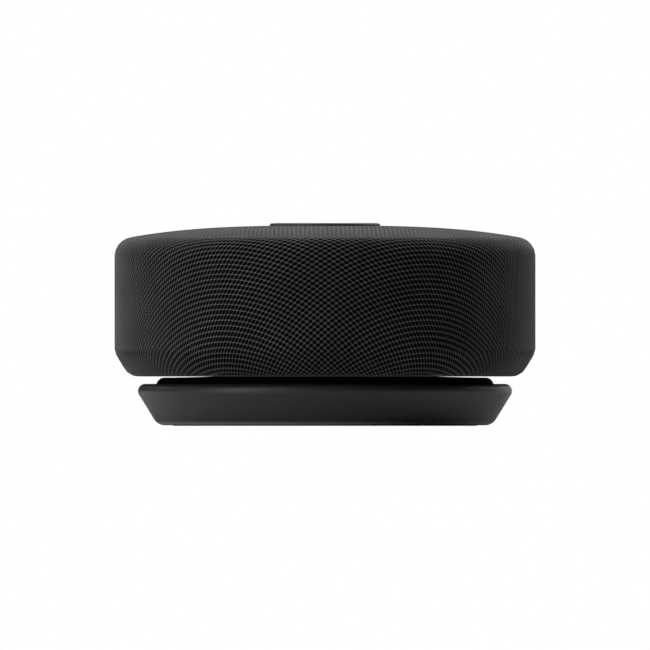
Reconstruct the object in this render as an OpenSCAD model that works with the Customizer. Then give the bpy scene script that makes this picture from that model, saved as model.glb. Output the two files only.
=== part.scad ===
// Conference speakerphone: a round fabric-wrapped speaker body that stands on a
// smaller conical base. Its drum hides a ring of microphones, an upward-firing
// driver in a sealed chamber and the main board; the base holds a ballast ring
// and the USB-C port. Millimetres, +Z up, origin at the centre of the foot ring
// on the table, front towards -Y, port towards +Y.

/* [Body] */
// Outer diameter of the fabric-wrapped body
body_d = 140; // [138:1:146]
// Height of the fabric's underside above the table
under_z = 16.55; // [16.5:0.05:17]
// Height where the straight side ends and the lower chamfer begins
side_low = 24.6; // [24:0.1:25.5]
// Height where the straight side ends and the shoulder begins
side_top = 56.5; // [56:0.5:60]
// Radius of the shoulder between the side and the top
shoulder_r = 6.34; // [6:0.1:7]
// Slope of the shallow domed top at its rim, in degrees
dome_tilt = 10.24; // [9:0.25:11]
// Lean of the lower chamfer from vertical, in degrees
chamfer_lean = 30.5; // [28:0.5:32]
// Thickness of the knitted fabric
fabric_t = 0.8; // [0.6:0.1:0.8]

/* [Control disc] */
// Radius of the control disc on top
disc_r = 18.4; // [18:0.1:20]
// Height of the disc above the table
disc_top = 67.56; // [67.5:0.05:68]

/* [Base] */
// Largest radius of the conical base
base_r = 62.3; // [62:0.1:64]
// Height of the base's top face
base_top = 14; // [13.9:0.1:14.2]
// Lean of the base's side from vertical, in degrees
base_lean = 31.5; // [30:0.5:32]
// Radius of the dark plinth between base and body
plinth_r = 56.24; // [56:0.1:56.4]
// Height of the plinth's top face
plinth_top = 16.1; // [16:0.05:16.1]
// How far the foot ring stands below the base shell
foot_proud = 0.2; // [0.2:0.1:0.6]

/* [Grille] */
// Number of sound slots round the drum in each row
slot_count = 36; // [24:2:40]
// Number of microphones in the ring
mic_count = 6; // [4:1:6]

/* [Hidden] */
$fn = 96;
gap = 0.05;                     // assembly clearance between fixed pieces
body_r = body_d / 2;

// Skin of the body: dome, shoulder, side, chamfer and underside, as one path.
corner_r = 1.2;                 // rounding where the side meets the chamfer
under_r = 5.3;                  // rounding where the chamfer meets the underside
dome_r = body_r - shoulder_r + shoulder_r * sin(dome_tilt);
dome_drop = dome_r * tan(dome_tilt) / 3;
dome_top = side_top + shoulder_r * cos(dome_tilt) + dome_drop;
under_cz = under_z + under_r;
under_cr = body_r + ((under_cz - side_low) * sin(chamfer_lean) - under_r) / cos(chamfer_lean);

// Body pieces under the fabric.
wall = 2;                       // drum and dome wall
skin_in = fabric_t + gap;       // depth of the drum's outer face below the fabric's
drum_in = skin_in + wall;       // depth of the drum's inner face
split_z = 56.2;                 // where the drum meets the dome frame
hem_r = 58;                     // radius where the fabric turns up into the hem groove
lip_top = 20.4;                 // top of the drum's inward lip
hem_top = 19.4;                 // where the turned-up hem ends
mic_ring_r = 50;
mic_boss_z = 61.2;              // lower face of the microphone bosses
mic_board_z = 57.3;
mic_board_t = 1.2;
board_boss_r = 40;              // ring of the microphone board's screw bosses
neck_hole_r = 16.7;             // hole in the dome for the control disc

// Control disc and its keys.
bezel_r = 15.9;                 // inside of the bezel
light_w = 0.7;                  // width of the status light ring
key_r = 14.8;                   // outside of the four ring keys
key_in = 6.9;                   // inside of the four ring keys
mute_r = 6.4;                   // the round key in the middle
key_gap = 0.5;                  // gap between neighbouring ring keys
key_top = 67.4;
key_low = 66;
key_stem_r = 1.1;
key_ring_r = 10.8;              // where the ring keys' stems stand
stem_low = 63.3;
guide_low = 64;
guide_top = 65.2;
ctrl_board_z = 60.55;
ctrl_board_t = 1.05;
switch_top = 62.8;
plunger_r = 0.75;
plunger_low = 62.4;
ctrl_screw_r = 13.7;            // ring of the control board's four screws

// Acoustic chamber, baffle and driver.
chamber_r = 52;
chamber_low = 27;
chamber_wall = 2;
chamber_rim = 44.4;
baffle_low = 45;
baffle_top = 47;
baffle_r = 58;
baffle_hole = 29.6;
seal_screw_r = 55.2;            // ring of the baffle's eight screws
flange_r = 34.2;
driver_screw_r = 32.7;          // ring of the driver's four screws
flange_z = 47.6;                // underside of the driver's flange
yoke_r = 15;
yoke_low = flange_z - 14.5;
coil_r = 12;
cone_r = 26.2;
lead_r = 27;                    // where the speaker leads rise, and at what angle
lead_turn = 60;
post_r = 37;                    // ring of the diffuser's posts
diffuser_r = 40;
diffuser_low = 54;
diffuser_top = 55.8;
diffuser_tip = 52;

// Chassis and main board.
chassis_z = 17.4;
chassis_t = 2;
chassis_r = 55.2;
main_board_z = 21.4;
main_board_t = 1.6;
main_board_r = 41.8;
neck_ring_r = 24;               // ring of the four neck screws
leg_ring_r = 45.5;              // ring of the chamber's four legs
board_screw_r = 39;             // ring of the main board's four screws
lip_screw_r = 59.8;             // ring of the six screws into the drum's lip
wire_hole_r = 9;                // passage for the harness through the neck

// Base.
rim_r = 2.4;                    // rounding of the base's upper rim
base_fillet = 4.2;              // rounding between side and bottom
base_low = foot_proud;
rim_c = [base_r - rim_r, base_top - rim_r];
side_line = rim_c[0] * cos(base_lean) - rim_c[1] * sin(base_lean) + rim_r;
base_cz = base_low + base_fillet;
base_cr = (side_line - base_fillet + base_cz * sin(base_lean)) / cos(base_lean);
base_wall = 2.2;
plate_r = 51.4;
plate_top = 3.4;
foot_in = 43;
foot_out = 50.6;
foot_top = 1.15;
boss_ring_r = 47;               // ring of the base's six screws
plinth_fillet = 2.8;
plinth_low = 12.25;             // lower edge of the plinth's skirt
plinth_deck = 13.6;             // underside of the plinth's deck
collar_r = 30.4;                // crowned collar round the neck pad
collar_top = 16.55;
port_z = 7;                     // height of the USB-C port's centre
port_w = 13.4;
port_h = 7.2;
port_mouth = 54.5;              // how far back the socket's mouth sits
usb_board_z = 4.15;
usb_board_t = 1.2;

// ---------------------------------------------------------------- shapes

// Points along an arc of radius r about c, from angle a0 to a1.
function arc(c, r, a0, a1, n = 8) =
    [for (i = [0:n]) let (a = a0 + (a1 - a0) * i / n) [c[0] + r * cos(a), c[1] + r * sin(a)]];

function reversed(path) = [for (i = [len(path) - 1:-1:0]) path[i]];

function dome_z(r, depth = 0) = dome_top - depth - dome_drop * pow(r / dome_r, 3);

// The dome from r_in out to the shoulder's end at r_split, at a depth below the skin.
function dome_path(depth, r_in, n = 12) =
    let (r_out = body_r - shoulder_r + (shoulder_r - depth) * sin(dome_tilt))
    [for (i = [0:n]) let (r = r_in + (r_out - r_in) * i / n) [r, dome_z(r, depth)]];

function shoulder_path(depth) =
    arc([body_r - shoulder_r, side_top], shoulder_r - depth, 90 - dome_tilt, 0);

// Where the side meets the chamfer: rounded near the skin, sharp deeper in.
function corner_path(depth) =
    corner_r - depth > 0.1
    ? arc([body_r - corner_r, side_low + corner_r * tan(chamfer_lean / 2)],
          corner_r - depth, 0, -chamfer_lean, 4)
    : [[body_r - depth, side_low + depth * tan(chamfer_lean / 2)]];

function under_path(depth, last = -90) =
    arc([under_cr, under_cz], under_r - depth, -chamfer_lean, last);

module ring(r_in, r_out, low, top) {
    rotate_extrude() translate([r_in, low]) square([r_out - r_in, top - low]);
}

module disc(r, low, top) {
    translate([0, 0, low]) cylinder(r = r, h = top - low);
}

// Repeats its children on a ring of radius r.
module around(r, count, first = 0) {
    for (i = [0:count - 1]) rotate([0, 0, first + 360 * i / count]) translate([r, 0, 0]) children();
}

// A screw with its head on top: the shank runs down from head_z to tip_z.
module screw(shank_r, head_r, head_z, head_h, tip_z) {
    difference() {
        union() {
            disc(head_r, head_z, head_z + head_h);
            disc(shank_r, tip_z, head_z + 0.01);
        }
        translate([0, 0, head_z + head_h * 0.4]) cylinder(r = head_r * 0.5, h = head_h, $fn = 6);
    }
}

// The same screw driven from below, its head at the bottom.
module screw_up(shank_r, head_r, head_z, head_h, tip_z) {
    translate([0, 0, head_z]) mirror([0, 0, 1]) screw(shank_r, head_r, 0, head_h, head_z - tip_z);
}

// A box by its middle in X and its span in Y and Z.
module slab(width, y0, y1, z0, z1) {
    translate([-width / 2, y0, z0]) cube([width, y1 - y0, z1 - z0]);
}

// Places its children where the speaker leads rise.
module at_leads() {
    rotate([0, 0, lead_turn]) translate([lead_r, 0, 0]) children();
}

// A rectangle with round corners, centred.
module round_rect(w, h, r) {
    square([w - 2 * r, h], center = true);
    square([w, h - 2 * r], center = true);
    for (x = [-1, 1], y = [-1, 1]) translate([x * (w / 2 - r), y * (h / 2 - r)]) circle(r = r);
}

// ---------------------------------------------------------------- body shell

module fabric_cover() {
    hem_in = hem_r - fabric_t;
    color("#2b2b2d") rotate_extrude() polygon(concat(
        dome_path(0, neck_hole_r + 0.1), shoulder_path(0), corner_path(0), under_path(0),
        [[hem_in, under_z], [hem_in, hem_top], [hem_r, hem_top], [hem_r, under_z + fabric_t]],
        reversed(under_path(fabric_t)), reversed(corner_path(fabric_t)),
        reversed(shoulder_path(fabric_t)), reversed(dome_path(fabric_t, neck_hole_r + 0.1))));
}

module grille_drum() {
    lip_turn = asin((lip_top - under_cz) / (under_r - drum_in));
    slot_w = 2 * PI * body_r / slot_count * 0.55;
    rows = [[28.5, 40.5], [42.5, 54.5]];
    color("#1b1b1c") difference() {
        rotate_extrude() polygon(concat(
            [[body_r - skin_in, split_z]], corner_path(skin_in), under_path(skin_in),
            [[hem_r + gap, under_z + skin_in], [hem_r + gap, lip_top]],
            reversed(under_path(drum_in, lip_turn)), corner_path(drum_in),
            [[body_r - drum_in, split_z]]));
        for (row = rows) around(body_r - 5, slot_count)
            translate([0, -slot_w / 2, row[0]]) cube([6, slot_w, row[1] - row[0]]);
        around(lip_screw_r, 6) disc(1.15, 18, lip_top + 1);
    }
}

module dome_frame() {
    spigot_out = body_r - drum_in - 0.25;
    spigot_in = spigot_out - 1.6;
    color("#1b1b1c") difference() {
        union() {
            rotate_extrude() polygon(concat(
                dome_path(skin_in, neck_hole_r), shoulder_path(skin_in),
                [[body_r - skin_in, split_z + gap], [body_r - drum_in, split_z + gap]],
                reversed(shoulder_path(drum_in)), reversed(dome_path(drum_in, neck_hole_r))));
            ring(spigot_in, spigot_out, split_z - 3.5, split_z + gap);
            ring(spigot_in, body_r - drum_in + 0.4, split_z + gap, split_z + 1.6);
            ring(neck_hole_r, neck_hole_r + 1.8, 58.6, dome_z(neck_hole_r, drum_in) + 0.6);
            ring(12, neck_hole_r + 1.8, 58.6, ctrl_board_z - gap);
            around(board_boss_r, 6)
                disc(2.6, mic_board_z + mic_board_t + gap, dome_z(board_boss_r, drum_in) + 0.6);
            around(mic_ring_r, mic_count, 30)
                disc(4, mic_boss_z, dome_z(mic_ring_r, drum_in) + 0.5);
        }
        around(mic_ring_r, mic_count, 30) disc(0.8, mic_boss_z - 1, dome_top);
        around(board_boss_r, 6) disc(1.05, mic_board_z, mic_board_z + mic_board_t + 3.2);
        around(ctrl_screw_r, 4, 45) disc(0.75, 58.7, ctrl_board_z + 1);
    }
}

module hem_clamp_ring() {
    color("#1f1f20") ring(chassis_r + 0.4, hem_r - fabric_t - gap, under_z + 0.3, hem_top);
}

// ---------------------------------------------------------------- control disc

module control_bezel() {
    lip = dome_z(neck_hole_r) + gap;
    edge = 0.55;                // rounding of the bezel's rim
    color("#151516") rotate_extrude() polygon(concat(
        [[bezel_r, guide_low], [neck_hole_r - 0.15, guide_low], [neck_hole_r - 0.15, lip],
         [disc_r, lip]],
        arc([disc_r - edge, disc_top - edge - 0.12], edge, 0, 85, 6),
        [[bezel_r + 0.4, disc_top], [bezel_r, disc_top]]));
}

module status_light_ring() {
    color("#e8ecee") ring(bezel_r - gap - light_w, bezel_r - gap, guide_top + gap, key_top + 0.02);
}

module key_guide() {
    color("#1f1f20") difference() {
        union() {
            disc(bezel_r - gap, guide_low, guide_top);
            ring(bezel_r - 0.9, bezel_r - gap, ctrl_board_z + ctrl_board_t + gap, guide_low);
        }
        disc(key_stem_r + 0.35, guide_low - 1, guide_top + 1);
        around(key_ring_r, 4) disc(key_stem_r + 0.35, guide_low - 1, guide_top + 1);
    }
}

module control_board() {
    color("#1d4a34") difference() {
        disc(bezel_r - 0.1, ctrl_board_z, ctrl_board_z + ctrl_board_t);
        around(ctrl_screw_r, 4, 45) disc(0.85, ctrl_board_z - 1, ctrl_board_z + 2);
    }
}

module control_board_screws() {
    color("#b9bbbd") around(ctrl_screw_r, 4, 45)
        screw(0.7, 1.05, ctrl_board_z + ctrl_board_t + 0.02, 0.6, 59);
}

module tact_switch() {
    top = ctrl_board_z + ctrl_board_t;
    difference() {
        slab(3.5, -1.75, 1.75, top + 0.02, switch_top);
        disc(plunger_r + 0.35, top + 0.3, switch_top + 1);
    }
}

module tact_switches() {
    color("#8f9295") {
        tact_switch();
        around(key_ring_r, 4) tact_switch();
    }
}

module plunger() {
    color("#2f2f31") disc(plunger_r, plunger_low, stem_low - 0.02);
}

module key_stem() {
    disc(key_stem_r, stem_low, key_low + 0.01);
}

module mute_key() {
    color("#202022") {
        disc(mute_r, key_low, key_top);
        key_stem();
    }
}

// One of the four keys round the middle one, facing +X.
module ring_key() {
    reach = key_r * 2;
    color("#202022") {
        translate([0, 0, key_low]) linear_extrude(key_top - key_low) difference() {
            intersection() {
                circle(r = key_r);
                translate([key_gap / sqrt(2), 0]) polygon([[0, 0], [reach, -reach], [reach, reach]]);
            }
            circle(r = key_in);
        }
        translate([key_ring_r, 0, 0]) key_stem();
    }
}

// ---------------------------------------------------------------- microphones

module mic_board() {
    color("#1d4a34") difference() {
        ring(36, 57, mic_board_z, mic_board_z + mic_board_t);
        around(board_boss_r, 6) disc(1.2, mic_board_z - 1, mic_board_z + 2);
    }
}

module mic_capsule_at(z) {
    slab(3.5, -1.35, 1.35, z, z + 1);
}

module mic_capsules() {
    color("#c9a86a") around(mic_ring_r, mic_count, 30)
        mic_capsule_at(mic_board_z + mic_board_t + 0.02);
}

module mic_boots() {
    low = mic_board_z + mic_board_t + 0.02;
    color("#262627") around(mic_ring_r, mic_count, 30) difference() {
        disc(3.2, low, mic_boss_z - gap);
        slab(3.6, -1.4, 1.4, low - 1, low + 1.1);
        disc(0.8, low, mic_boss_z + 1);
    }
}

module mic_board_screws() {
    color("#b9bbbd") around(board_boss_r, 6)
        screw_up(1, 1.9, mic_board_z - 0.02, 1.1, mic_board_z + mic_board_t + 2.8);
}

// Flat cable from the control board down past the well to the microphone board.
module control_ribbon() {
    t = 0.3;
    run_z = 57.6;
    deck = mic_board_z + mic_board_t + 0.05;
    color("#d8d3c4") {
        slab(7, 8, 8 + t, run_z, ctrl_board_z - 0.02);
        slab(7, 8, 35.6, run_z, run_z + t);
        slab(7, 35.3, 35.6, run_z, deck + t);
        slab(7, 35.3, 37.6, deck, deck + t);
    }
}

// Flat cable from the microphone board down the drum's wall to the main board.
module mic_ribbon() {
    t = 0.3;
    wall_y = 61.9;
    top = mic_board_z - 0.05;
    low = main_board_z + main_board_t + 1.42;
    color("#d8d3c4") {
        slab(10, 53, wall_y + t, top - t, top);
        slab(10, wall_y, wall_y + t, low, top);
        slab(10, 37, wall_y + t, low, low + t);
    }
}

// ---------------------------------------------------------------- sound path

module sound_diffuser() {
    color("#232324") difference() {
        union() {
            rotate_extrude() polygon(concat(
                [for (i = [0:8]) let (r = 30 * i / 8)
                    [r, diffuser_tip + (diffuser_low - diffuser_tip) * (1 - pow(1 - r / 30, 2))]],
                [[diffuser_r, diffuser_low], [diffuser_r, diffuser_top], [0, diffuser_top]]));
            around(post_r, 4, 45) disc(2.5, baffle_top + 0.02, diffuser_low + 0.5);
        }
        around(post_r, 4, 45) {
            disc(1.3, baffle_top - 1, diffuser_top + 1);
            disc(2.1, diffuser_top - 1.2, diffuser_top + 1);
        }
    }
}

module diffuser_screws() {
    color("#b9bbbd") around(post_r, 4, 45)
        screw(1.15, 2, diffuser_top - 1.18, 1.1, baffle_low + 0.4);
}

module baffle_plate() {
    color("#1b1b1c") difference() {
        ring(baffle_hole, baffle_r, baffle_low, baffle_top);
        around(post_r, 4, 45) disc(1.2, baffle_low - 1, baffle_top + 1);
        around(seal_screw_r, 8, 22.5) disc(1.2, baffle_low - 1, baffle_top + 1);
        around(driver_screw_r, 4) disc(0.95, baffle_low - 1, baffle_top + 1);
    }
}

module chamber_seal() {
    color("#101011") ring(50.2, 53.4, chamber_rim + 0.01, baffle_low - 0.01);
}

module acoustic_chamber() {
    inner = chamber_r - chamber_wall;
    flange_low = chamber_rim - 2;
    bend = 3;
    color("#232324") difference() {
        union() {
            rotate_extrude() polygon(concat(
                [[0, chamber_low]], arc([chamber_r - bend, chamber_low + bend], bend, -90, 0, 5),
                [[chamber_r, flange_low], [baffle_r, flange_low], [baffle_r, chamber_rim],
                 [inner, chamber_rim], [inner, chamber_low + bend],
                 [inner - 1, chamber_low + chamber_wall], [0, chamber_low + chamber_wall]]));
            around(leg_ring_r, 4, 45) disc(3.2, chassis_z + chassis_t + gap, chamber_low + 0.5);
        }
        around(leg_ring_r, 4, 45) disc(1.25, chassis_z, chamber_low - 0.5);
        around(seal_screw_r, 8, 22.5) disc(1.15, flange_low - 1, chamber_rim + 1);
        at_leads() disc(3.05, chamber_low - 1, chamber_low + 4);
    }
}

module chamber_grommet() {
    color("#161617") at_leads() difference() {
        disc(3, chamber_low - 0.4, chamber_low + 2.4);
        for (y = [-1.3, 1.3]) translate([0, y, 0]) disc(0.65, chamber_low - 1, chamber_low + 4);
    }
}

// ---------------------------------------------------------------- driver

module driver_basket() {
    z = flange_z;
    color("#3a3c3f") difference() {
        union() {
            at_leads() translate([-1.6, -2.8, z - 5.5]) cube([3, 5.6, 4.2]);
            rotate_extrude() polygon([
                [yoke_r + gap, z - 7.6], [17.5, z - 7.6], [22.8, z - 5.35], [24, z - 5.35],
                [29.2, z - 0.2], [29.2, z], [flange_r, z], [flange_r, z + 1.2],
                [28.6, z + 1.2], [28, z + 0.55], [23.4, z - 4.15], [20.6, z - 4.15],
                [16.6, z - 6.2], [yoke_r + gap, z - 6.2]]);
        }
        around(26.2, 6, 30) translate([-1.9, -4.5, z - 6]) cube([3.8, 9, 6.2]);
        around(driver_screw_r, 4) disc(1, z - 1, z + 2);
    }
}

module driver_seal() {
    color("#101011") difference() {
        ring(baffle_hole + 0.1, flange_r - 0.1, baffle_top + 0.02, flange_z - 0.02);
        around(driver_screw_r, 4) disc(1.1, baffle_top - 1, flange_z + 1);
    }
}

module driver_screws() {
    color("#b9bbbd") around(driver_screw_r, 4)
        screw(0.9, 1.4, flange_z + 1.22, 1, baffle_low + 0.3);
}

module driver_yoke() {
    color("#6f7275") rotate_extrude() polygon([
        [0, yoke_low], [yoke_r, yoke_low], [yoke_r, yoke_low + 9], [13.2, yoke_low + 9],
        [13.2, yoke_low + 2], [0, yoke_low + 2]]);
}

module driver_magnet() {
    color("#505256") disc(10.5, yoke_low + 2.02, yoke_low + 6.2);
}

module driver_pole_plate() {
    color("#6f7275") disc(11.4, yoke_low + 6.22, yoke_low + 8.6);
}

module voice_coil() {
    low = flange_z - 10.5;
    color("#b06a34") {
        ring(coil_r, coil_r + 0.2, low, flange_z - 2.05);
        ring(coil_r + 0.19, coil_r + 0.7, low, low + 5);
    }
}

// The paper cone's lower face rises from its neck to its rim.
neck_z = flange_z - 2.55;
cone_z = flange_z + 1.45;

module driver_cone() {
    neck_r = coil_r + 0.22;
    sag = 0.5;                  // how far the flare bows below a straight line
    steps = 8;
    under = [for (i = [0:steps]) let (t = i / steps)
        [neck_r + (cone_r - neck_r) * t, neck_z + (cone_z - neck_z) * t - sag * sin(180 * t)]];
    color("#1a1a1b") rotate_extrude() polygon(concat(
        under, reversed([for (p = under) [p[0], p[1] + 0.4]])));
}

module dust_cap() {
    rim = 13.2;
    rise = 2.85;
    low = neck_z + 1;
    r = (rim * rim + rise * rise) / (2 * rise);
    open = asin(rim / r);
    color("#151516") rotate_extrude() polygon(concat(
        arc([0, low + rise - r], r, 90 - open, 90), arc([0, low + rise - r], r - 0.3, 90, 90 - open)));
}

module cone_surround() {
    mid = [cone_r + 2.05, cone_z];
    color("#101011") rotate_extrude() polygon(concat(
        arc(mid, 2, 180, 0, 10), [[31, cone_z], [31, cone_z - 0.2], [29.9, cone_z - 0.2]],
        arc(mid, 1.6, 0, 180, 10)));
}

module spider() {
    first = coil_r + 0.22;
    last = 20.7;
    waves = 2.5;
    steps = 24;
    deck = flange_z - 4.13;
    under = [for (i = [0:steps]) let (t = i / steps)
        [first + (last - first) * t, deck + 0.35 * (1 + cos(360 * waves * t))]];
    color("#b98d4e") rotate_extrude() polygon(concat(
        under, [[22.6, deck], [22.6, deck + 0.3]], reversed([for (p = under) [p[0], p[1] + 0.3]])));
}

module speaker_leads() {
    base = main_board_z + main_board_t + 1.42;
    color("#8c1f1f") at_leads() for (y = [-1.3, 1.3])
        translate([0, y, 0]) disc(0.5, base, flange_z - 5.52);
}

// ---------------------------------------------------------------- main board

module main_board() {
    color("#1d4a34") difference() {
        disc(main_board_r, main_board_z, main_board_z + main_board_t);
        disc(wire_hole_r, main_board_z - 1, main_board_z + 3);
        around(neck_ring_r, 4) disc(4, main_board_z - 1, main_board_z + 3);
        around(board_screw_r, 4, 45) disc(1.3, main_board_z - 1, main_board_z + 3);
    }
}

module main_board_parts() {
    deck = main_board_z + main_board_t + 0.02;
    // middle X, middle Y, width, depth and height of each part on the board
    parts = [
        [0, 38.6, 12, 4, 1.38], [0, 16.4, 7, 4, 1.38], [13.5, 23.4, 6, 5, 1.38],
        [-30, 10, 6, 6, 1], [-33, -8, 5, 5, 1], [-20, 28, 7, 5, 1.1], [20, 30, 5, 5, 2.6],
        [24, 20, 5, 5, 2.6], [-14, -32, 4, 4, 0.9], [30, -14, 7, 7, 1.2], [33, 12, 4, 3, 1],
        [0, -38, 10, 3, 1.2],
    ];
    color("#2a2b2d") for (p = parts)
        translate([p[0] - p[2] / 2, p[1] - p[3] / 2, deck]) cube([p[2], p[3], p[4]]);
}

module shield_can() {
    deck = main_board_z + main_board_t + 0.02;
    color("#c4c6c9") difference() {
        translate([5, -32, deck]) cube([17, 18, 2.4]);
        translate([5.3, -31.7, deck - 1]) cube([16.4, 17.4, 3.1]);
        translate([13.5, -23, 0]) around(5, 6) disc(0.7, deck, deck + 4);
    }
}

module body_chassis() {
    deck = chassis_z + chassis_t;
    flange_low = lip_top + gap;
    color("#1b1b1c") difference() {
        union() {
            rotate_extrude() polygon([
                [wire_hole_r, chassis_z], [chassis_r, chassis_z], [chassis_r, flange_low],
                [61.4, flange_low], [61.4, flange_low + 1.95], [53.5, flange_low + 1.95],
                [53.5, deck], [wire_hole_r, deck]]);
            around(neck_ring_r, 4) disc(3.6, deck - 0.5, 24);
            around(board_screw_r, 4, 45) disc(2.8, deck - 0.5, main_board_z - gap);
        }
        around(neck_ring_r, 4) disc(1.5, chassis_z - 1, 23.5);
        around(board_screw_r, 4, 45) disc(1.15, deck - 0.6, main_board_z + 1);
        around(lip_screw_r, 6) disc(1.25, flange_low - 1, flange_low + 3);
        around(leg_ring_r, 4, 45) {
            disc(1.35, chassis_z - 1, deck + 1);
            disc(2.5, chassis_z - 1, chassis_z + 1.15);
        }
    }
}

// One short self-tapping screw, its head's underside at z.
module case_screw(z) {
    screw(1.1, 2, z, 1.2, z - 4);
}

// The same short screw in the baffle, the chassis flange and the main board.
module case_screws() {
    color("#b9bbbd") {
        around(seal_screw_r, 8, 22.5) case_screw(baffle_top + 0.02);
        around(lip_screw_r, 6) case_screw(lip_top + gap + 1.97);
        around(board_screw_r, 4, 45) case_screw(main_board_z + main_board_t + 0.02);
    }
}

module long_screw(z) {
    length = 7.5;
    screw_up(1.2, 2.35, z, 1.05, z + length);
}

// The same long screw up into the chamber's four legs and the plinth's six bosses.
module long_screws() {
    seat = 1.13;
    color("#b9bbbd") {
        around(leg_ring_r, 4, 45) long_screw(chassis_z + seat);
        around(boss_ring_r, 6) long_screw(foot_top + seat);
    }
}

// ---------------------------------------------------------------- base

module neck_pad() {
    color("#0f0f10") difference() {
        ring(12, 30, plinth_top + 0.02, chassis_z - 0.02);
        around(neck_ring_r, 4) disc(1.7, plinth_top - 1, chassis_z + 1);
    }
}

module neck_screws() {
    color("#b9bbbd") around(neck_ring_r, 4) screw_up(1.45, 2.7, plinth_deck - 0.02, 1.4, 22.8);
}

module plinth() {
    inner = plinth_r - 2.24;
    color("#0c0c0d") difference() {
        union() {
            rotate_extrude() polygon(concat(
                [[wire_hole_r, plinth_deck], [wire_hole_r, plinth_top],
                 [collar_r, plinth_top], [collar_r, collar_top], [collar_r + 3, collar_top],
                 [40, plinth_top + 0.27], [46.5, plinth_top + 0.09], [51.5, plinth_top]],
                arc([plinth_r - plinth_fillet, plinth_top - plinth_fillet], plinth_fillet, 90, 0),
                [[plinth_r, plinth_low], [inner, plinth_low], [inner, plinth_deck]]));
            around(boss_ring_r, 6) disc(3.2, plate_top + gap, plinth_deck + 0.5);
        }
        around(boss_ring_r, 6) disc(1.3, plate_top - 1, plinth_deck - 1.5);
        around(neck_ring_r, 4) disc(1.6, plinth_deck - 1, plinth_top + 1);
    }
}

module base_shell() {
    ledge_top = plinth_low - gap;
    ledge_low = ledge_top - 1.4;
    inner_line = side_line - base_wall;
    function inner_r(z) = (inner_line + z * sin(base_lean)) / cos(base_lean);
    color("#2c2c2e") difference() {
        rotate_extrude() polygon(concat(
            [[plate_r + 0.2, base_low]],
            arc([base_cr, base_cz], base_fillet, -90, -base_lean),
            arc(rim_c, rim_r, -base_lean, 90, 12),
            [[plinth_r + 0.26, base_top], [plinth_r + 0.26, ledge_top], [54.4, ledge_top],
             [54.4, ledge_low], [inner_r(ledge_low), ledge_low],
             [inner_r(base_low + base_wall), base_low + base_wall],
             [plate_r + 0.2, base_low + base_wall]]));
        translate([0, 70, port_z]) rotate([90, 0, 0]) linear_extrude(20)
            round_rect(port_w, port_h, 3);
    }
}

// Steel ballast ring, notched at the back for the port's board.
module base_weight() {
    color("#8b8e92") difference() {
        ring(12, 41, plate_top + gap, 9.4);
        slab(28, 26, 60, plate_top, 10);
    }
}

module base_plate() {
    color("#1b1b1c") difference() {
        union() {
            disc(plate_r, base_low, plate_top);
            for (x = [-9, 9]) translate([x, 38, 0]) {
                disc(2.2, plate_top - 0.5, usb_board_z - 0.02);
                disc(0.8, plate_top - 0.5, usb_board_z + usb_board_t + 0.5);
            }
        }
        ring(foot_in - 0.05, foot_out + 0.05, base_low - 1, foot_top + gap);
        around(boss_ring_r, 6) {
            disc(1.35, 0, plate_top + 1);
            disc(2.6, 0, foot_top + 1.15);
        }
        disc(30, base_low - 1, base_low + 0.4);
    }
}

module foot_ring() {
    color("#101011") ring(foot_in, foot_out, 0, foot_top);
}

module usb_board() {
    deck = usb_board_z + usb_board_t;
    color("#1d4a34") difference() {
        union() {
            slab(24, 34, 54, usb_board_z, deck);
            slab(7, 35.5, 39.5, deck - 0.2, deck + 2.6);
            translate([7.5, 0, 0]) slab(4, 43, 47, deck - 0.2, deck + 0.9);
            translate([-7.5, 0, 0]) slab(3, 44, 46, deck - 0.2, deck + 1.4);
        }
        for (x = [-9, 9]) translate([x, 38, 0]) disc(1, usb_board_z - 1, deck + 1);
    }
}

module usb_c_socket() {
    shell_w = 8.94;
    shell_h = 3.26;
    depth = 7.3;
    color("#c4c6c9") {
        difference() {
            translate([0, port_mouth, port_z]) rotate([90, 0, 0]) linear_extrude(depth)
                round_rect(shell_w, shell_h, 1.6);
            translate([0, port_mouth + 1, port_z]) rotate([90, 0, 0]) linear_extrude(depth - 0.1)
                round_rect(shell_w - 0.6, shell_h - 0.6, 1.3);
        }
        slab(6.7, port_mouth - depth + 0.5, port_mouth - 0.8, port_z - 0.35, port_z + 0.35);
    }
}

// Flat cable from the port's board up through the neck to the main board.
module base_harness() {
    t = 0.3;
    run_z = 11;
    rise_y = 6;
    top_z = 25.2;
    color("#d8d3c4") {
        slab(6, 37.2, 37.5, usb_board_z + usb_board_t + 2.62, run_z + t);
        slab(6, rise_y, 37.5, run_z, run_z + t);
        slab(6, rise_y, rise_y + t, run_z, top_z + t);
        slab(6, rise_y, 16.6, top_z, top_z + t);
        slab(6, 16.3, 16.6, main_board_z + main_board_t + 1.42, top_z + t);
    }
}

// ---------------------------------------------------------------- placement

fabric_cover();
grille_drum();
dome_frame();
hem_clamp_ring();
control_bezel();
status_light_ring();
key_guide();
control_board();
control_board_screws();
tact_switches();
mute_key();
ring_key();  // volume_up_key
rotate([0, 0, 90]) ring_key();  // call_key
rotate([0, 0, 180]) ring_key();  // volume_down_key
rotate([0, 0, 270]) ring_key();  // end_call_key
plunger();  // mute_plunger
translate([key_ring_r, 0, 0]) plunger();  // volume_up_plunger
translate([0, key_ring_r, 0]) plunger();  // call_plunger
translate([-key_ring_r, 0, 0]) plunger();  // volume_down_plunger
translate([0, -key_ring_r, 0]) plunger();  // end_call_plunger
mic_board();
mic_capsules();
mic_boots();
mic_board_screws();
control_ribbon();
mic_ribbon();
sound_diffuser();
diffuser_screws();
baffle_plate();
chamber_seal();
acoustic_chamber();
chamber_grommet();
driver_basket();
driver_seal();
driver_screws();
driver_yoke();
driver_magnet();
driver_pole_plate();
voice_coil();
driver_cone();
dust_cap();
cone_surround();
spider();
speaker_leads();
main_board();
main_board_parts();
shield_can();
body_chassis();
case_screws();
long_screws();
neck_pad();
neck_screws();
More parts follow.
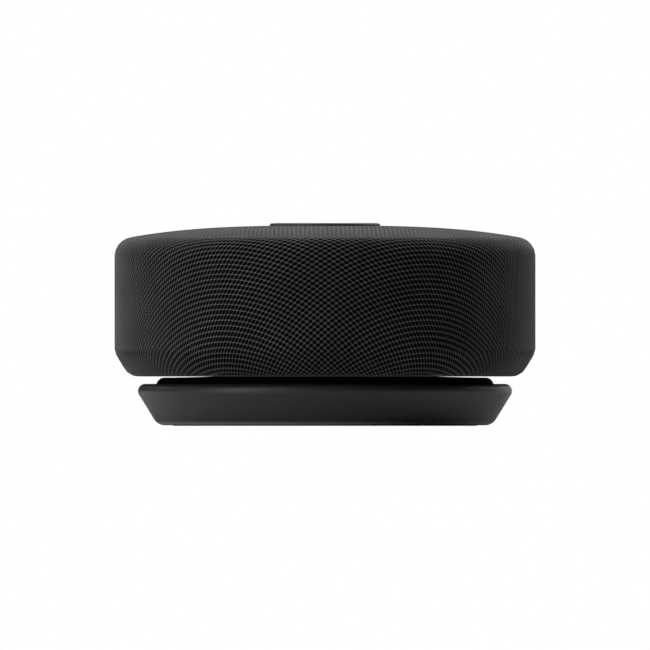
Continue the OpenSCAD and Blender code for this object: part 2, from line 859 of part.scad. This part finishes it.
plinth();
base_shell();
base_weight();
base_plate();
foot_ring();
usb_board();
usb_c_socket();
base_harness();
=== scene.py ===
import math

import bmesh
import bpy
import numpy as np
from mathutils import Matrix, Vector


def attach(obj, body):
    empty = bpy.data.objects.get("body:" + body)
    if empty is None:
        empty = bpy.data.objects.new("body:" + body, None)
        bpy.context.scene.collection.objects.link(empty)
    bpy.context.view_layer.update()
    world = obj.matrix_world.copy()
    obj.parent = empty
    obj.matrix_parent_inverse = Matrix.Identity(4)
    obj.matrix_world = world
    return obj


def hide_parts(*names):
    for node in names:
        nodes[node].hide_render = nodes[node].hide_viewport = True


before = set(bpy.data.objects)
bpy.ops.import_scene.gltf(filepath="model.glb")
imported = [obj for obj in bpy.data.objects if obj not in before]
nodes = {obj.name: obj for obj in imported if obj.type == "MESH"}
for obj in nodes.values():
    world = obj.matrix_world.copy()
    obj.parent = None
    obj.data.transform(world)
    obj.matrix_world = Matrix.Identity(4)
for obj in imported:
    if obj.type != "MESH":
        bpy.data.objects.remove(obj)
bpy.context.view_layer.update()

# ---------------------------------------------------------------- inner frame
# Drum, dome frame, chamber and chassis: black ABS, injection moulded and left
# as it comes from the tool, with a fine spark-eroded texture.

MM = 0.001                 # one millimetre in metres
PER_MM = 1000              # scale of a texture that repeats once a millimetre


def linear(code):
    """An sRGB hex colour as linear RGBA."""
    parts = [int(code[i:i + 2], 16) / 255 for i in (1, 3, 5)]
    return [c / 12.92 if c <= 0.04045 else ((c + 0.055) / 1.055) ** 2.4 for c in parts] + [1.0]


def add(tree, kind, inputs=None, **settings):
    """Adds a node: settings are its properties, inputs its sockets' links or values."""
    node = tree.nodes.new(kind)
    for name, value in settings.items():
        setattr(node, name, value)
    for name, value in (inputs or {}).items():
        if isinstance(value, bpy.types.NodeSocket):
            tree.links.new(value, node.inputs[name])
        else:
            node.inputs[name].default_value = value
    return node


def blank(name):
    """A new material with an empty tree, and the object coordinates in it."""
    made = bpy.data.materials.new(name)
    made.use_nodes = True
    made.node_tree.nodes.clear()
    place = add(made.node_tree, "ShaderNodeTexCoord").outputs["Object"]
    return made, made.node_tree, place


def noise(tree, place, scale, detail, roughness=0.5):
    """Noise with so many grains to the unit of place."""
    return add(tree, "ShaderNodeTexNoise", {"Vector": place, "Scale": scale, "Detail": detail,
                                            "Roughness": roughness}).outputs["Fac"]


def toned(tree, value, *stops):
    """The value as a colour between stops, each a position and a linear colour."""
    made = add(tree, "ShaderNodeValToRGB", {"Fac": value})
    ramp = made.color_ramp.elements
    ramp[0].position, ramp[0].color = stops[0]
    ramp[1].position, ramp[1].color = stops[-1]
    for position, colour in stops[1:-1]:
        ramp.new(position).color = colour
    return made.outputs["Color"]


def spread(tree, value, low, high):
    """Noise spread from low to high, without its rare ends."""
    return add(tree, "ShaderNodeMapRange", {"Value": value, "From Min": 0.3, "From Max": 0.7,
                                            "To Min": low, "To Max": high}).outputs["Result"]


def bumped(tree, height, strength, depth):
    """The normal over a height, its depth in metres."""
    return add(tree, "ShaderNodeBump", {"Height": height, "Strength": strength,
                                        "Distance": depth}).outputs["Normal"]


def shade(tree, inputs):
    """Ends the tree in a principled surface with these inputs."""
    surface = add(tree, "ShaderNodeBsdfPrincipled", inputs)
    add(tree, "ShaderNodeOutputMaterial", {"Surface": surface.outputs[0]})


def scaled(colour, share, more=0.0):
    """The colour made darker or paler."""
    return [min(1.0, c * share + more) for c in colour[:3]] + [1.0]


def moulded(name, colour, grain_mm, depth_mm, roughness, ior=1.53):
    """Moulded plastic: tool texture of one grain size, and a slow drift in its polish."""
    made, tree, place = blank(name)
    grain = noise(tree, place, PER_MM / grain_mm, 3.0, 0.55)
    drift = noise(tree, place, 45.0, 4.0)
    base = linear(colour)
    shade(tree, {
        "Base Color": toned(tree, grain, (0.3, scaled(base, 0.75)),
                            (0.72, scaled(base, 1.35, 0.002))),
        "Roughness": spread(tree, drift, roughness * 0.875, min(1.0, roughness * 1.125)),
        "IOR": ior, "Normal": bumped(tree, grain, 0.6, depth_mm * MM)})
    return made


def finish(material, *names):
    """Gives CAD nodes their material."""
    for name in names:
        mesh = nodes[name].data
        mesh.materials.clear()
        mesh.materials.append(material)


black_abs = moulded("moulded black ABS", "#161617", 0.25, 0.02, 0.55)
finish(black_abs, "grille_drum", "dome_frame", "hem_clamp_ring", "key_guide", "sound_diffuser",
       "baffle_plate", "acoustic_chamber", "body_chassis")

# ---------------------------------------------------------------- fabric cover
# A disc of charcoal polyester knit pulled down over the body and held by its hem
# under the chassis. It is an open diamond mesh, its rows close on the dome and
# drawn apart down the side, with a thin black nonwoven bonded behind it.

body_r = 70.0
side_low, side_top = 24.6, 56.5                       # heights of the straight side's ends
shoulder_r, dome_tilt = 6.34, math.radians(10.24)     # the shoulder, and the dome's slope at it
dome_r = body_r - shoulder_r + shoulder_r * math.sin(dome_tilt)
dome_drop = dome_r * math.tan(dome_tilt) / 3
dome_top = side_top + shoulder_r * math.cos(dome_tilt) + dome_drop
corner_r = 1.2                                        # between the side and the chamfer
under_z, under_r, lean = 16.55, 5.3, math.radians(30.5)    # underside, its corner, the chamfer
under_cz = under_z + under_r
under_cr = body_r + ((under_cz - side_low) * math.sin(lean) - under_r) / math.cos(lean)
hem_in, hem_end, fold_r = 57.2, 17.6, 0.6             # where the hem turns up, and how sharply
cover_in = 16.9            # where the cloth ends under the control disc

diamond_w = 2.63           # width and height of the knit's diamonds as cut
diamond_h = 1.285
side_cloth = 0.7646        # cloth taken by the first millimetre past the dome's edge
side_give = 0.0039         # how much less each further millimetre takes
swing = 0.06               # how far the rows swing round as the cloth is pulled in
yarn_share = 0.3           # width of a yarn over the distance from one to the next
yarn_proud = 0.1           # how far a yarn's crown stands above the cover's mean face
yarn_round = 0.3           # how far its edges lie below its crown
yarn_uneven = 0.35         # how much these two heights vary
scrim_in = 0.45            # how far the nonwoven lies inside the cover's mean face
scrim_turns = 144          # faces round the nonwoven
dome_points = 60           # points of the cover's line on the dome


def arc(cx, cz, r, a0, a1, steps):
    """Points of an arc between two angles in radians."""
    return [(cx + r * math.cos(a), cz + r * math.sin(a)) for a in np.linspace(a0, a1, steps)]


def cover_profile():
    """The cover's outer line from under the control disc to the hem, in millimetres."""
    line = [(r, dome_top - dome_drop * (r / dome_r) ** 3)
            for r in np.linspace(cover_in, dome_r, dome_points)]
    line += arc(body_r - shoulder_r, side_top, shoulder_r, math.pi / 2 - dome_tilt, 0, 24)[1:]
    line += [(body_r, z) for z in np.linspace(side_top, side_low + 2, 24)[1:]]
    line += arc(body_r - corner_r, side_low + corner_r * math.tan(lean / 2), corner_r, 0, -lean, 8)
    line += arc(under_cr, under_cz, under_r, -lean, -math.pi / 2, 20)
    line += arc(hem_in + fold_r, under_z + fold_r, fold_r, -math.pi / 2, -math.pi, 8)
    line += [(hem_in, hem_end)]
    return np.array(line)


line = cover_profile()
run = np.concatenate([[0], np.cumsum(np.hypot(*np.diff(line, axis=0).T))])
down = np.maximum(run - run[dome_points - 1], 0)
# Radius in the cut disc of each point of the line, and the disc's own, in metres.
flat_r = np.where(down == 0, line[:, 0], dome_r + down * side_cloth - down ** 2 * side_give / 2)


def knit_sheet():
    """The knit as one open sheet: four faces round each hole, from its rim to the yarns' middles.

    A point's place in the lattice counts the yarns to it in the two directions they run in.
    """
    reach = int(flat_r[-1] * math.hypot(1 / diamond_w, 1 / diamond_h)) + 2
    index = np.arange(-reach, reach + 1)
    rows, columns = (grid.ravel() for grid in np.meshgrid(index, index, indexing="ij"))
    half = 0.5 - yarn_share / 2
    around = ((-1, -1), (1, -1), (1, 1), (-1, 1))
    knots = [(rows + x / 2, columns + y / 2) for x, y in around]
    rims = [(rows + x * half, columns + y * half) for x, y in around]

    def flat_place(p, q):
        return (p - q) / 2 * diamond_w, (p + q) / 2 * diamond_h

    far = np.hypot(*flat_place(rows, columns))
    kept = (far >= flat_r[0]) & (far <= flat_r[-1])
    corners = np.array([[p[kept], q[kept]] for p, q in knots + rims])
    count = corners.shape[2]
    lattice, back = np.unique(np.round(corners.transpose(2, 0, 1).reshape(-1, 2), 4), axis=0,
                              return_inverse=True)
    back = back.reshape(count, 8)
    u, v = flat_place(lattice[:, 0], lattice[:, 1])
    turn = np.arctan2(u, v)
    theta = turn.copy()
    for _ in range(12):    # ends within a thousandth of a degree
        theta = turn + swing * np.sin(2 * theta)
    r = np.interp(np.hypot(u, v), flat_r, line[:, 0])
    z = np.interp(np.hypot(u, v), flat_r, line[:, 1])
    points = np.stack([r * np.sin(theta), -r * np.cos(theta), z], axis=1) * MM
    lattice = np.concatenate([lattice, np.zeros((len(lattice), 1))], axis=1)
    faces = np.concatenate([back[:, [k, (k + 1) % 4, 4 + (k + 1) % 4, 4 + k]] for k in range(4)])
    mesh = bpy.data.meshes.new("knit_cover")
    mesh.from_pydata(points.tolist(), [], faces.tolist())
    attribute = mesh.attributes.new("lattice", "FLOAT_VECTOR", "POINT")
    attribute.data.foreach_set("vector", lattice.astype(np.float32).ravel())
    return placed(mesh)


def scrim_sheet():
    """The nonwoven behind the knit: the cover's line set in a little and turned round."""
    turns = np.linspace(0, 2 * math.pi, scrim_turns, endpoint=False)
    step = np.gradient(line, run, axis=0)
    step /= np.linalg.norm(step, axis=1)[:, None]
    inner = (line + scrim_in * np.stack([step[:, 1], -step[:, 0]], axis=1))[::2] * MM
    points = [(r * math.sin(a), -r * math.cos(a), z) for r, z in inner for a in turns]
    n = scrim_turns
    faces = [(i * n + k, (i + 1) * n + k, (i + 1) * n + (k + 1) % n, i * n + (k + 1) % n)
             for i in range(len(inner) - 1) for k in range(n)]
    mesh = bpy.data.meshes.new("scrim")
    mesh.from_pydata(points, [], faces)
    return placed(mesh)


def placed(mesh):
    """The mesh as an object, smooth, its normals outward."""
    made = bpy.data.objects.new(mesh.name, mesh)
    bpy.context.scene.collection.objects.link(made)
    work = bmesh.new()
    work.from_mesh(mesh)
    if max(work.faces, key=lambda f: f.calc_center_median().z).normal.z < 0:
        bmesh.ops.reverse_faces(work, faces=work.faces[:])
    work.to_mesh(mesh)
    work.free()
    mesh.shade_smooth()
    return made


def maths(tree, operation, *values):
    """The result of one operation on links or numbers."""
    return add(tree, "ShaderNodeMath", dict(enumerate(values)), operation=operation).outputs[0]


def wave(tree, value, count):
    """From 1 down to 0 and back, count times while value grows by one."""
    cosine = maths(tree, "COSINE", maths(tree, "MULTIPLY", value, 2 * math.pi * count))
    return maths(tree, "MULTIPLY_ADD", cosine, 0.5, 0.5)


def product(tree, a, b):
    return maths(tree, "MULTIPLY", a, b)


def axes(tree, vector):
    """The vector's X, Y and Z."""
    parts = add(tree, "ShaderNodeSeparateXYZ", {0: vector})
    return [parts.outputs[axis] for axis in ("X", "Y", "Z")]


def knit_relief():
    """Rounds the yarns: lifts their crowns and drops their edges, not quite evenly."""
    tree = bpy.data.node_groups.new("knit relief", "GeometryNodeTree")
    face = tree.interface
    face.new_socket("Geometry", in_out="INPUT", socket_type="NodeSocketGeometry")
    sockets = {}
    for name, kind in (("Crown height", "Float"), ("Edge drop", "Float"), ("Unevenness", "Float"),
                       ("Material", "Material")):
        sockets[name] = face.new_socket(name, in_out="INPUT", socket_type="NodeSocket" + kind)
    face.new_socket("Geometry", in_out="OUTPUT", socket_type="NodeSocketGeometry")
    given = add(tree, "NodeGroupInput")
    lattice = add(tree, "GeometryNodeInputNamedAttribute", {"Name": "lattice"},
                  data_type="FLOAT_VECTOR").outputs["Attribute"]
    p, q, _ = axes(tree, lattice)
    hole = product(tree, wave(tree, p, 1), wave(tree, q, 1))
    edge = add(tree, "ShaderNodeMapRange", {"Value": hole, "From Min": 0.0, "From Max": 0.05})
    centred = maths(tree, "SUBTRACT", noise(tree, lattice, 0.9, 1.0), 0.5)
    sway = maths(tree, "MULTIPLY_ADD", centred, given.outputs["Unevenness"], 1.0)
    drop = product(tree, edge.outputs["Result"], given.outputs["Edge drop"])
    lift = product(tree, maths(tree, "SUBTRACT", given.outputs["Crown height"], drop), sway)
    normal = add(tree, "GeometryNodeInputNormal")
    move = add(tree, "ShaderNodeVectorMath", {0: normal.outputs["Normal"], "Scale": lift},
               operation="SCALE")
    moved = add(tree, "GeometryNodeSetPosition", {"Geometry": given.outputs["Geometry"],
                                                  "Offset": move.outputs["Vector"]})
    real = add(tree, "GeometryNodeRealizeInstances", {"Geometry": moved.outputs["Geometry"]})
    dressed = add(tree, "GeometryNodeSetMaterial", {"Geometry": real.outputs["Geometry"],
                                                    "Material": given.outputs["Material"]})
    add(tree, "NodeGroupOutput", {"Geometry": dressed.outputs["Geometry"]})
    return tree, sockets


def settle(made):
    """Turns the evaluated object into a plain mesh and takes its modifiers off."""
    shown = made.evaluated_get(bpy.context.evaluated_depsgraph_get())
    mesh = bpy.data.meshes.new_from_object(shown)
    made.modifiers.clear()
    made.data = mesh
    return made


def polyester_knit():
    """Matte charcoal polyester: fine filaments along each yarn, dark between them, with painted
    shade at the yarns' edges and a painted highlight on their knots.
    """
    made, tree, place = blank("charcoal polyester knit")
    filaments = 7
    lattice = add(tree, "ShaderNodeAttribute", attribute_name="lattice").outputs["Vector"]
    p, q, _ = axes(tree, lattice)
    # How far from a yarn's middle, for the painted shade at its edges, where they round down.
    a, b = wave(tree, p, 1), wave(tree, q, 1)
    edge = add(tree, "ShaderNodeMapRange", {"Value": maths(tree, "MINIMUM", a, b),
                                            "From Min": 0.01, "From Max": 0.17,
                                            "To Min": 1.0, "To Max": 0.04},
               interpolation_type="SMOOTHSTEP").outputs["Result"]
    # Fine ridges across each yarn, running with it.
    ridges = add(tree, "ShaderNodeMix", {
        "Factor": maths(tree, "GREATER_THAN", a, b),
        "A": wave(tree, p, filaments), "B": wave(tree, q, filaments)}).outputs[0]
    # Painted highlight: the knots, where the yarns cross and stand proud, are painted lighter.
    painted_knot_highlight = product(tree, wave(tree, maths(tree, "ADD", p, 0.5), 1),
                       wave(tree, maths(tree, "ADD", q, 0.5), 1))
    fuzz = noise(tree, lattice, 5.0, 3.0)
    drift = noise(tree, place, 60.0, 3.0)
    light = 0.0
    for part, share in ((ridges, 0.15), (painted_knot_highlight, 0.4), (fuzz, 0.6), (drift, 0.3)):
        light = maths(tree, "MULTIPLY_ADD", part, share, light)
    # The painted shade at the yarns' edges takes the tone down to near black.
    yarn = toned(tree, product(tree, light, edge), (0.05, linear("#020202")),
                 (0.5, linear("#272729")), (1.0, linear("#606062")))
    height = maths(tree, "MULTIPLY_ADD", ridges, 0.25, fuzz)
    shade(tree, {"Base Color": yarn, "Roughness": 0.62, "IOR": 1.33,
                 "Sheen Weight": 0.22, "Sheen Roughness": 0.3, "Sheen Tint": linear("#c8c8cc"),
                 "Normal": bumped(tree, height, 0.7, 0.1 * MM)})
    return made


knit = knit_sheet()
knit_material = polyester_knit()
relief, inputs = knit_relief()
modifier = knit.modifiers.new("knit relief", "NODES")
modifier.node_group = relief
modifier[inputs["Crown height"].identifier] = yarn_proud * MM
modifier[inputs["Edge drop"].identifier] = yarn_round * MM
modifier[inputs["Unevenness"].identifier] = yarn_uneven
modifier[inputs["Material"].identifier] = knit_material
settle(knit)
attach(knit, "housing")
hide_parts("fabric_cover")

scrim = scrim_sheet()
scrim.data.materials.append(moulded("black nonwoven", "#030303", 0.18, 0.05, 0.95, ior=1.05))
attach(scrim, "housing")
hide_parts("fabric_cover")

# ---------------------------------------------------------------- control disc
# A bezel of matte black ABS, in it a milky light ring and five touch-coated keys.
# Each key carries one printed mark, green or red on the two call keys, else grey.

finish(moulded("matte bezel ABS", "#1f1f21", 0.12, 0.008, 0.6), "control_bezel")
finish(moulded("soft-touch key ABS", "#252527", 0.08, 0.005, 0.62), "mute_key", "call_key",
       "end_call_key", "volume_up_key", "volume_down_key")
finish(moulded("acetal plunger", "#39393b", 0.2, 0.006, 0.4), "mute_plunger", "call_plunger",
       "end_call_plunger", "volume_up_plunger", "volume_down_plunger")
finish(moulded("milky polycarbonate", "#d8dcdf", 0.3, 0.004, 0.35), "status_light_ring")

key_top = 67.4             # height of the keys' faces
ink_in, ink_out = 0.01, 0.03     # the ink's sink and thickness; each shape a hair more, so that
ink_step = 0.0005                # none of their faces lie in one plane


def strip(points, width):
    """A band of one width along a path, as the outlines of its pieces."""
    shapes = []
    overlap = 0.12         # of the width, from one piece into the next
    for (x0, y0), (x1, y1) in zip(points, points[1:]):
        dx, dy = x1 - x0, y1 - y0
        n = math.hypot(dx, dy)
        nx, ny = -dy / n * width / 2, dx / n * width / 2
        ex, ey = dx / n * width * overlap, dy / n * width * overlap
        shapes.append([(x0 - ex + nx, y0 - ey + ny), (x0 - ex - nx, y0 - ey - ny),
                       (x1 + ex - nx, y1 + ey - ny), (x1 + ex + nx, y1 + ey + ny)])
    return shapes


def bow(cx, cy, r, a0, a1, steps=10):
    """Points of an arc between two angles in degrees."""
    return arc(cx, cy, r, math.radians(a0), math.radians(a1), steps)


def printed_mark(name, shapes, at, colour, body):
    """Thin ink on a key's face, from flat outlines in millimetres."""
    work = bmesh.new()
    for index, shape in enumerate(shapes):
        low = key_top - ink_in - ink_step * index
        high = key_top + ink_out + ink_step * index
        rings = [[work.verts.new(((x + at[0]) * MM, (y + at[1]) * MM, z * MM)) for x, y in shape]
                 for z in (low, high)]
        count = len(shape)
        work.faces.new(rings[1])
        work.faces.new(list(reversed(rings[0])))
        for k in range(count):
            work.faces.new([rings[0][k], rings[0][(k + 1) % count],
                            rings[1][(k + 1) % count], rings[1][k]])
    bmesh.ops.recalc_face_normals(work, faces=work.faces[:])
    mesh = bpy.data.meshes.new(name)
    work.to_mesh(mesh)
    work.free()
    made = bpy.data.objects.new(name, mesh)
    bpy.context.scene.collection.objects.link(made)
    mesh.materials.append(colour)
    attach(made, body)
    return made


grey_ink = moulded("pale grey ink", "#b9bcc0", 0.1, 0.002, 0.6)
green_ink = moulded("green ink", "#3f9d5a", 0.1, 0.002, 0.6)
red_ink = moulded("red ink", "#b8403a", 0.1, 0.002, 0.6)
handset = strip(bow(0, -1.6, 2.5, 35, 145, 12), 0.75) + [
    [(1.5, -0.9), (2.75, -0.35), (2.3, 0.7), (1.1, 0.15)][::-1],
    [(-1.5, -0.9), (-2.75, -0.35), (-2.3, 0.7), (-1.1, 0.15)]]
ring_r = 10.8              # the four outer marks' distance from the middle
printed_mark("mark_call", handset, (0, ring_r), green_ink, "call_button")
printed_mark("mark_end_call", handset, (0, -ring_r), red_ink, "end_call_button")
bar = strip([(-1.6, 0), (1.6, 0)], 0.5)
printed_mark("mark_volume_up", bar + strip([(0, -1.6), (0, 1.6)], 0.5), (ring_r, 0), grey_ink,
             "volume_up_button")
printed_mark("mark_volume_down", bar, (-ring_r, 0), grey_ink, "volume_down_button")
printed_mark("mark_mute", [bow(0, 1.0, 0.85, 0, 180) + bow(0, -0.4, 0.85, 180, 360)]
             + strip(bow(0, -0.4, 1.55, 190, 350, 12), 0.4) + strip([(0, -1.95), (0, -2.8)], 0.4)
             + strip([(-1.0, -2.85), (1.0, -2.85)], 0.4) + strip([(-2.3, 2.3), (2.3, -2.3)], 0.35),
             (0, 0), grey_ink, "mute_button")

# ---------------------------------------------------------------- plinth and base
# The plinth is black ABS with a dead matte paint. The base shell is satin black
# ABS, clipped under it; the plate beneath is coarser, and the foot is silicone.

finish(moulded("dead matte paint on ABS", "#020202", 0.15, 0.01, 0.9, ior=1.15), "plinth")


def between(tree, share, first, second):
    """The mix of two colours."""
    mixed = add(tree, "ShaderNodeMix", {0: share, 6: first, 7: second}, data_type="RGBA")
    return mixed.outputs[2]


def satin_shell():
    """Satin black, its lowest edge painted pale: a painted reflection of the white table."""
    made = moulded("satin black ABS", "#232326", 0.35, 0.006, 0.5, ior=1.47)
    tree = made.node_tree
    surface = next(n for n in tree.nodes if n.type == "BSDF_PRINCIPLED")
    place = next(n for n in tree.nodes if n.type == "TEX_COORD").outputs["Object"]
    height = axes(tree, place)[2]
    # Painted reflection: the lowest 1.6 mm is painted paler towards the table, for the table's
    # reflection.
    painted_reflection = add(tree, "ShaderNodeMapRange", {"Value": height, "From Min": 1.6 * MM,
                                             "From Max": 0.5 * MM})
    black = surface.inputs["Base Color"].links[0].from_socket
    black_with_painted_reflection = between(tree, painted_reflection.outputs["Result"], black, linear("#8c8c90"))
    tree.links.new(black_with_painted_reflection, surface.inputs["Base Color"])
    return made


finish(satin_shell(), "base_shell")
finish(moulded("spark-textured ABS", "#1a1a1b", 0.4, 0.05, 0.6), "base_plate")
finish(moulded("grey silicone", "#909094", 0.2, 0.01, 0.7), "foot_ring")

# ---------------------------------------------------------------- rubber and foam
# Boots, grommet and surround are moulded EPDM; the seals are cut from
# closed-cell foam with open pores at the cut edge.

finish(moulded("moulded EPDM rubber", "#161616", 0.3, 0.015, 0.7), "mic_boots",
       "chamber_grommet", "cone_surround")


def cut_foam():
    """Closed-cell foam: round pores about a third of a millimetre across."""
    made, tree, place = blank("closed-cell foam")
    pores = add(tree, "ShaderNodeTexVoronoi", {"Vector": place, "Scale": 3 * PER_MM})
    depth = pores.outputs["Distance"]
    tone = toned(tree, depth, (0.0, linear("#060606")), (0.6, linear("#1c1c1d")))
    shade(tree, {"Base Color": tone, "Roughness": 0.9,
                 "Normal": bumped(tree, depth, 0.8, 0.1 * MM)})
    return made


finish(cut_foam(), "chamber_seal", "driver_seal", "neck_pad")

# ---------------------------------------------------------------- metal pieces
# Screws are zinc-plated steel, cans tinned sheet, yoke and pole plate plated
# iron; the ballast ring is turned and its rings of tool marks are left bare.


def plated(name, colour, roughness, marks_mm, metallic=1.0, turned=False):
    """Metal with fine scratches, or with rings of turning marks about the axis."""
    made, tree, place = blank(name)
    if turned:
        x, y, _ = axes(tree, place)
        far = maths(tree, "SQRT", maths(tree, "ADD", product(tree, x, x), product(tree, y, y)))
        marks = wave(tree, far, PER_MM / marks_mm)
    else:
        marks = noise(tree, place, PER_MM / marks_mm, 4.0)
    haze = noise(tree, place, 300.0, 3.0)
    base = linear(colour)
    shade(tree, {"Base Color": toned(tree, haze, (0.3, scaled(base, 0.82)), (0.7, base)),
                 "Metallic": metallic,
                 "Roughness": spread(tree, haze, roughness * 0.75, roughness * 1.25),
                 "Normal": bumped(tree, marks, 0.3, 0.02 * MM)})
    return made


finish(plated("zinc-plated steel", "#b4b7ba", 0.32, 0.3), "control_board_screws",
       "mic_board_screws", "diffuser_screws", "driver_screws", "case_screws", "long_screws",
       "neck_screws")
finish(plated("tinned sheet", "#c9ccce", 0.28, 0.5), "tact_switches", "shield_can", "usb_c_socket")
finish(plated("gilt can", "#d2a860", 0.25, 0.2), "mic_capsules")
finish(plated("plated soft iron", "#9a9da0", 0.35, 0.4), "driver_yoke", "driver_pole_plate")
finish(plated("nickel-plated magnet", "#a8abb0", 0.18, 0.6), "driver_magnet")
finish(plated("turned ballast steel", "#8d9093", 0.38, 0.35, turned=True), "base_weight")
finish(plated("black e-coated steel", "#1b1c1e", 0.35, 0.3, metallic=0.0), "driver_basket")

# ---------------------------------------------------------------- driver's soft parts
# Cone and dust cap are coated paper pulp, the spider resin-set cloth, the coil
# enamelled copper wound in fine turns, the leads PVC.


def wound_copper():
    """Turns of 0.16 mm enamelled wire lying one above the other."""
    made, tree, place = blank("enamelled copper winding")
    turns = wave(tree, axes(tree, place)[2], PER_MM / 0.16)
    tone = toned(tree, turns, (0.0, linear("#5a2a12")), (1.0, linear("#c9743a")))
    shade(tree, {"Base Color": tone, "Metallic": 1.0, "Roughness": 0.3,
                 "Normal": bumped(tree, turns, 0.8, 0.05 * MM)})
    return made


finish(wound_copper(), "voice_coil")
finish(moulded("coated paper pulp", "#1c1c1d", 0.6, 0.03, 0.65), "driver_cone", "dust_cap")
finish(moulded("resin-set cloth", "#a87c3c", 0.4, 0.05, 0.7), "spider")
finish(moulded("red PVC sleeve", "#8f1f1c", 0.3, 0.004, 0.4), "speaker_leads")

# ---------------------------------------------------------------- electronics
# Boards are glass epoxy under green solder mask, black at the port where it can
# be seen; chips are moulded epoxy; flat cables are white film over copper.


def solder_mask(name, mask, patch, track, pad_colour="#c9a04a"):
    """Mask of one colour with tracks on a 1.2 mm pitch and gold pads where they end."""
    made, tree, place = blank(name)
    cells = add(tree, "ShaderNodeTexBrick", {
        "Vector": place, "Color1": linear(mask), "Color2": linear(patch), "Mortar": linear(track),
        "Scale": PER_MM / 2.4, "Mortar Size": 0.06, "Bias": 0.0, "Brick Width": 1.6,
        "Row Height": 0.5})
    pads = add(tree, "ShaderNodeTexVoronoi", {"Vector": place, "Scale": PER_MM / 3.2})
    pad = maths(tree, "LESS_THAN", pads.outputs["Distance"], 0.13)
    shade(tree, {"Base Color": between(tree, pad, cells.outputs["Color"], linear(pad_colour)),
                 "Roughness": 0.3, "Normal": bumped(tree, cells.outputs["Fac"], 0.4, 0.03 * MM)})
    return made


finish(solder_mask("green solder mask", "#14532f", "#176037", "#23814c"),
       "control_board", "mic_board", "main_board")
finish(solder_mask("black solder mask", "#0b0c0c", "#0e0f0f", "#161817", "#101111"), "usb_board")
finish(moulded("moulded epoxy package", "#1e1f21", 0.12, 0.008, 0.5), "main_board_parts")


def film_cable():
    """White polyester film with the copper strips showing through on a 0.5 mm pitch."""
    made, tree, place = blank("flat film cable")
    strips = wave(tree, axes(tree, place)[0], PER_MM / 0.5)
    tone = toned(tree, strips, (0.0, linear("#e4e0d4")), (1.0, linear("#c4b89c")))
    shade(tree, {"Base Color": tone, "Roughness": 0.35})
    return made


finish(film_cable(), "control_ribbon", "mic_ribbon", "base_harness")

# ---------------------------------------------------------------- studio
# A white table lit by soft boxes behind, above and at the front left, with a white
# room beyond it, and a camera far off, level with the middle of the object.

table_half = 20.0          # so wide that its edge is never seen
floor = bpy.data.objects.new("table", bpy.data.meshes.new("table"))
floor.data.from_pydata([(x * table_half, y * table_half, 0)
                        for x, y in ((-1, -1), (1, -1), (1, 1), (-1, 1))], [], [(0, 1, 2, 3)])
bpy.context.scene.collection.objects.link(floor)


def laminate():
    """White table laminate, even but for a faint drift in tone."""
    made, tree, place = blank("white table laminate")
    drift = noise(tree, place, 8.0, 2.0)
    tone = toned(tree, drift, (0.0, linear("#ececec")), (1.0, linear("#f0f0f0")))
    shade(tree, {"Base Color": tone, "Roughness": 0.5})
    return made


floor.data.materials.append(laminate())

centre = Vector((0, 0, 0.0336))     # the middle of the object
light_far = 0.9                     # from there to each light


def softbox(name, azimuth, elevation, width, height, power):
    """A soft light turned to the object; azimuth 0 is the camera's side, 90 the right.

    Angles are in degrees, the box's sides in metres, its power in watts.
    """
    light = bpy.data.lights.new(name, "AREA")
    light.shape, light.size, light.size_y, light.energy = "RECTANGLE", width, height, power
    made = bpy.data.objects.new(name, light)
    a, e = math.radians(azimuth), math.radians(elevation)
    away = Vector((math.sin(a) * math.cos(e), -math.cos(a) * math.cos(e), math.sin(e)))
    made.location = centre + light_far * away
    made.rotation_euler = away.to_track_quat("Z", "Y").to_euler()
    bpy.context.scene.collection.objects.link(made)


softbox("front left", -55, 12, 0.35, 0.6, 3.2)
softbox("high left", -35, 55, 0.4, 0.4, 2.4)
softbox("high front", 25, 72, 0.5, 0.4, 1.2)
softbox("high behind", 180, 50, 0.6, 0.5, 2.0)
softbox("back left", -120, 40, 0.4, 0.5, 2.5)
softbox("back right", 120, 40, 0.4, 0.5, 3.2)
softbox("low right", 150, 12, 0.35, 0.6, 1.0)

# White to the camera, and next to nothing as a light.
world = bpy.data.worlds.new("studio")
world.use_nodes = True
room = world.node_tree
room.nodes.clear()
ray = add(room, "ShaderNodeLightPath").outputs["Is Camera Ray"]
dim, white = (add(room, "ShaderNodeBackground", {"Color": linear("#ffffff"), "Strength": strength})
              for strength in (0.002, 1.0))
either = add(room, "ShaderNodeMixShader", {0: ray, 1: dim.outputs[0], 2: white.outputs[0]})
add(room, "ShaderNodeOutputWorld", {"Surface": either.outputs[0]})
bpy.context.scene.world = world
bpy.context.scene.view_settings.view_transform = "Standard"

lens = bpy.data.cameras.new("camera")
lens.type = "ORTHO"
lens.ortho_scale = 0.2165           # width of the view in metres
camera = bpy.data.objects.new("camera", lens)
camera.location = (0, -2, centre[2])
camera.rotation_euler = (math.radians(90), 0, 0)
bpy.context.scene.collection.objects.link(camera)
bpy.context.scene.camera = camera
